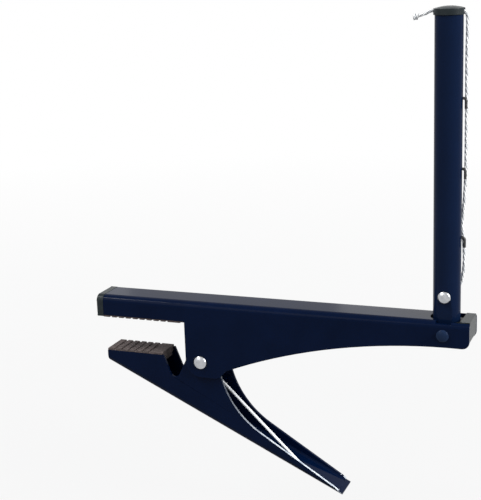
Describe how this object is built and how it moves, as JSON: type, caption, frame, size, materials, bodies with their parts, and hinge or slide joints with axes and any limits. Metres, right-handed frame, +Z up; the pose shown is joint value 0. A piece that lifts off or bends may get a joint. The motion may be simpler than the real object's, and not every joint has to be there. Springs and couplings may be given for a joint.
{
  "type": "table tennis net clamp",
  "caption": "Spring lever clamp with rubber jaws that grips the edge of a table and carries a short upright post for a table tennis net.",
  "frame": {"origin": "underside of the upper rubber pad, at the stop edge that meets the table's edge, mid-width of the arm", "axes": "+X outwards from the table to the post, +Y across the arm, away from the cheek with the pivot rivet's front head, +Z up along the post"},
  "size_m": [0.195, 0.0236, 0.2414],
  "materials": {
    "painted_steel": "gloss",
    "moulded_plastic": "satin",
    "pad_rubber": "matte",
    "bright_rivet_steel": "polished",
    "spring_steel": "polished",
    "hook_black": "satin",
    "cord_thread": "twisted thread",
    "foot_dowel_wood": "plain"
  },
  "bodies": {
    "root": {"arm_channel": "painted_steel", "arm_end_cap": "moulded_plastic", "arm_tail_plug": "moulded_plastic", "upper_jaw_pad": "pad_rubber", "post_tube": "painted_steel", "post_foot_dowel": "foot_dowel_wood", "post_cap": "moulded_plastic", "post_rivet": "bright_rivet_steel", "foot_rivet": "painted_steel", "upper_net_hook": "hook_black", "middle_net_hook": "hook_black", "lower_net_hook": "hook_black", "pivot_rivet": "bright_rivet_steel", "spring_sleeve": "spring_steel", "front_washer": "spring_steel", "back_washer": "spring_steel", "torsion_spring": "spring_steel", "tension_cord": "cord_thread", "cord_top_knot": "cord_thread", "cord_end_loop": "cord_thread"},
    "lever": {"jaw_lever": "painted_steel", "lower_jaw_pad": "pad_rubber"}
  },
  "joints": [
    {"name": "clamp_pivot", "type": "hinge", "parent": "root", "child": "lever", "pos_m": [0.0082, 0, -0.0202], "axis": [0, -1, 0], "range_deg": [-19, 22], "stiffness_Nm_per_rad": 0.34, "springref_deg": -79.07, "deforming": ["torsion_spring"]}
  ]
}
